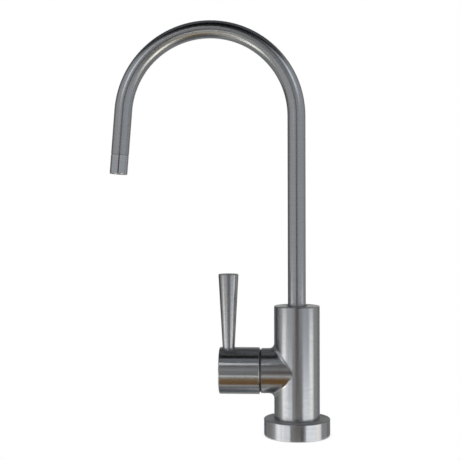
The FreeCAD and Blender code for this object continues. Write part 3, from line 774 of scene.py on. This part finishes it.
def painted_hall(radius):
    """Far walls with panels placed by direction, for the metal to mirror out of the picture."""
    # Matt wall paint under even light: broad tones with soft edges, which the metal shows as bands.
    # It is mirrored, and isn't sampled as a lamp.
    material = new_material("painted_hall_walls")
    material.cycles.emission_sampling = "NONE"
    tree = material.node_tree
    place = add(tree, "ShaderNodeTexCoord").outputs["Object"]
    way = add(tree, VECTOR_MATH, {0: place}, operation="NORMALIZE").outputs[0]
    parts = add(tree, "ShaderNodeSeparateXYZ", {0: way}).outputs
    front = add(tree, MATH, {0: parts["Y"], 1: -1.0}, operation="MULTIPLY").outputs[0]
    azimuth = add(tree, MATH, {0: parts["X"], 1: front}, operation="ARCTAN2").outputs[0]
    elevation = add(tree, MATH, {0: parts["Z"]}, operation="ARCSINE").outputs[0]
    height = add(
        tree, MAP_RANGE,
        {"Value": elevation, "From Min": -math.pi / 2, "From Max": math.pi / 2},
    ).outputs[0]
    ramp = add(tree, "ShaderNodeValToRGB", {"Fac": height})
    elements = ramp.color_ramp.elements
    while len(elements) < len(HEIGHTS):
        elements.new(0.5)
    for element, (degrees, hex_colour) in zip(elements, HEIGHTS):
        element.position = (degrees + 90) / 180
        element.color = (*linear(hex_colour), 1)
    colour = ramp.outputs["Color"]
    for panel in PANELS:
        masks = []
        for angle, centre, half in (
            (azimuth, panel.azimuth, panel.half_width),
            (elevation, panel.elevation, panel.half_height),
        ):
            off = add(
                tree, MATH, {0: angle, 1: math.radians(centre)}, operation="SUBTRACT"
            ).outputs[0]
            off = add(
                tree, MATH, {0: off, 1: math.pi, 2: -math.pi}, operation="WRAP"
            ).outputs[0]
            off = add(tree, MATH, {0: off}, operation="ABSOLUTE").outputs[0]
            masks.append(add(
                tree, MAP_RANGE,
                {
                    "Value": off,
                    "From Min": math.radians(half - panel.edge / 2),
                    "From Max": math.radians(half + panel.edge / 2),
                    "To Min": 1.0,
                    "To Max": 0.0,
                },
                interpolation_type="SMOOTHSTEP",
            ).outputs[0])
        mask = add(tree, MATH, {0: masks[0], 1: masks[1]}, operation="MULTIPLY").outputs[0]
        light = (*(panel.level * c for c in linear(panel.hex_colour)), 1)
        colour = add(
            tree, "ShaderNodeMix", {0: mask, 6: colour, 7: light}, data_type="RGBA",
            label=panel.name,
        ).outputs[2]
    glow = add(tree, "ShaderNodeEmission", {"Color": colour, "Strength": 1.0}).outputs[0]
    add(tree, "ShaderNodeOutputMaterial", {"Surface": glow})
    form = bmesh.new()
    bmesh.ops.create_icosphere(form, subdivisions=HALL_SUBDIVISIONS, radius=radius)
    stage_piece("stage_hall", form, material).visible_camera = False


class FAUCET_OT_set_stage(bpy.types.Operator):
    """Set the plinth, floor, cards, lights and camera"""

    bl_idname = "faucet.set_stage"
    bl_label = "Set the Stage"

    def execute(self, context):
        stage = context.scene.faucet_stage
        floor_z = -stage.plinth_height
        # Matt paint and card: an even tone with no gloss, which shows the faucet's own shadow.
        stage_disc(
            "stage_plinth", BASE_RADIUS + stage.plinth_margin, floor_z, -PLINTH_GAP,
            matt_card("matt_white_paint", stage.plinth, PLINTH_GLOW, PLINTH_RETURN),
        )
        stage_disc(
            "stage_floor", stage.floor_radius, floor_z - FLOOR_THICKNESS, floor_z,
            matt_card("matt_pale_paint", stage.floor, DIM_GLOW),
        )
        mirrored_card(
            "stage_brown_card", BROWN_CARD_X, BROWN_CARD_Y, BROWN_CARD_Z,
            matt_card("matt_brown_card", stage.brown_card, DIM_GLOW),
        )
        # The slate card lies on the floor, and neither shades nor tints it.
        slate = mirrored_card(
            "stage_slate_card", SLATE_CARD_X, SLATE_CARD_Y, floor_z,
            matt_card("matt_slate_card", stage.slate_card, DIM_GLOW),
        )
        slate.visible_shadow = False
        slate.visible_diffuse = False
        for box in SOFT_BOXES:
            soft_box(box, stage.soft_box_level)
        plain_world(context.scene, stage.backdrop)
        painted_hall(stage.hall_radius)
        context.scene.view_settings.view_transform = "Standard"
        data = bpy.data.cameras.new("photo_camera")
        data.lens = stage.lens
        data.sensor_width = SENSOR_WIDTH_MM
        camera = bpy.data.objects.new("photo_camera", data)
        pitch, roll, turn = stage.camera_turn
        camera.rotation_euler = Euler((LOOKING_LEVEL + pitch, roll, turn), "XYZ")
        camera.location = stage.camera_place
        context.scene.collection.objects.link(camera)
        context.scene.camera = camera
        return {"FINISHED"}


OPERATORS = (
    FAUCET_OT_brush_nickel, FAUCET_OT_polish_spout, FAUCET_OT_turn_brass, FAUCET_OT_stamp_steel,
    FAUCET_OT_mould_seals, FAUCET_OT_mould_plastics, FAUCET_OT_lap_ceramic, FAUCET_OT_set_stage,
)


class FAUCET_PT_looks(bpy.types.Panel):
    """Lists the faucet's looks in the sidebar"""

    bl_idname = "FAUCET_PT_looks"
    bl_label = "Faucet Looks"
    bl_space_type = "VIEW_3D"
    bl_region_type = "UI"
    bl_category = "Faucet"

    def draw(self, context):
        for group in (context.scene.faucet_finishes, context.scene.faucet_stage):
            for name in group.__annotations__:
                self.layout.prop(group, name)
        for operator in OPERATORS:
            self.layout.operator(operator.bl_idname)


CLASSES = (FaucetFinishes, FaucetStage, *OPERATORS, FAUCET_PT_looks)


def register():
    """Registers the classes and hangs the settings on the scene."""
    for cls in CLASSES:
        bpy.utils.register_class(cls)
    bpy.types.Scene.faucet_finishes = PointerProperty(type=FaucetFinishes)
    bpy.types.Scene.faucet_stage = PointerProperty(type=FaucetStage)


def unregister():
    """Takes the settings and classes away again."""
    del bpy.types.Scene.faucet_stage
    del bpy.types.Scene.faucet_finishes
    for cls in reversed(CLASSES):
        bpy.utils.unregister_class(cls)


def main():
    """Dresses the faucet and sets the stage."""
    register()
    bpy.ops.faucet.brush_nickel()
    bpy.ops.faucet.polish_spout()
    bpy.ops.faucet.turn_brass()
    bpy.ops.faucet.stamp_steel()
    bpy.ops.faucet.mould_seals()
    bpy.ops.faucet.mould_plastics()
    bpy.ops.faucet.lap_ceramic()
    bpy.ops.faucet.set_stage()


if __name__ == "__main__":
    main()
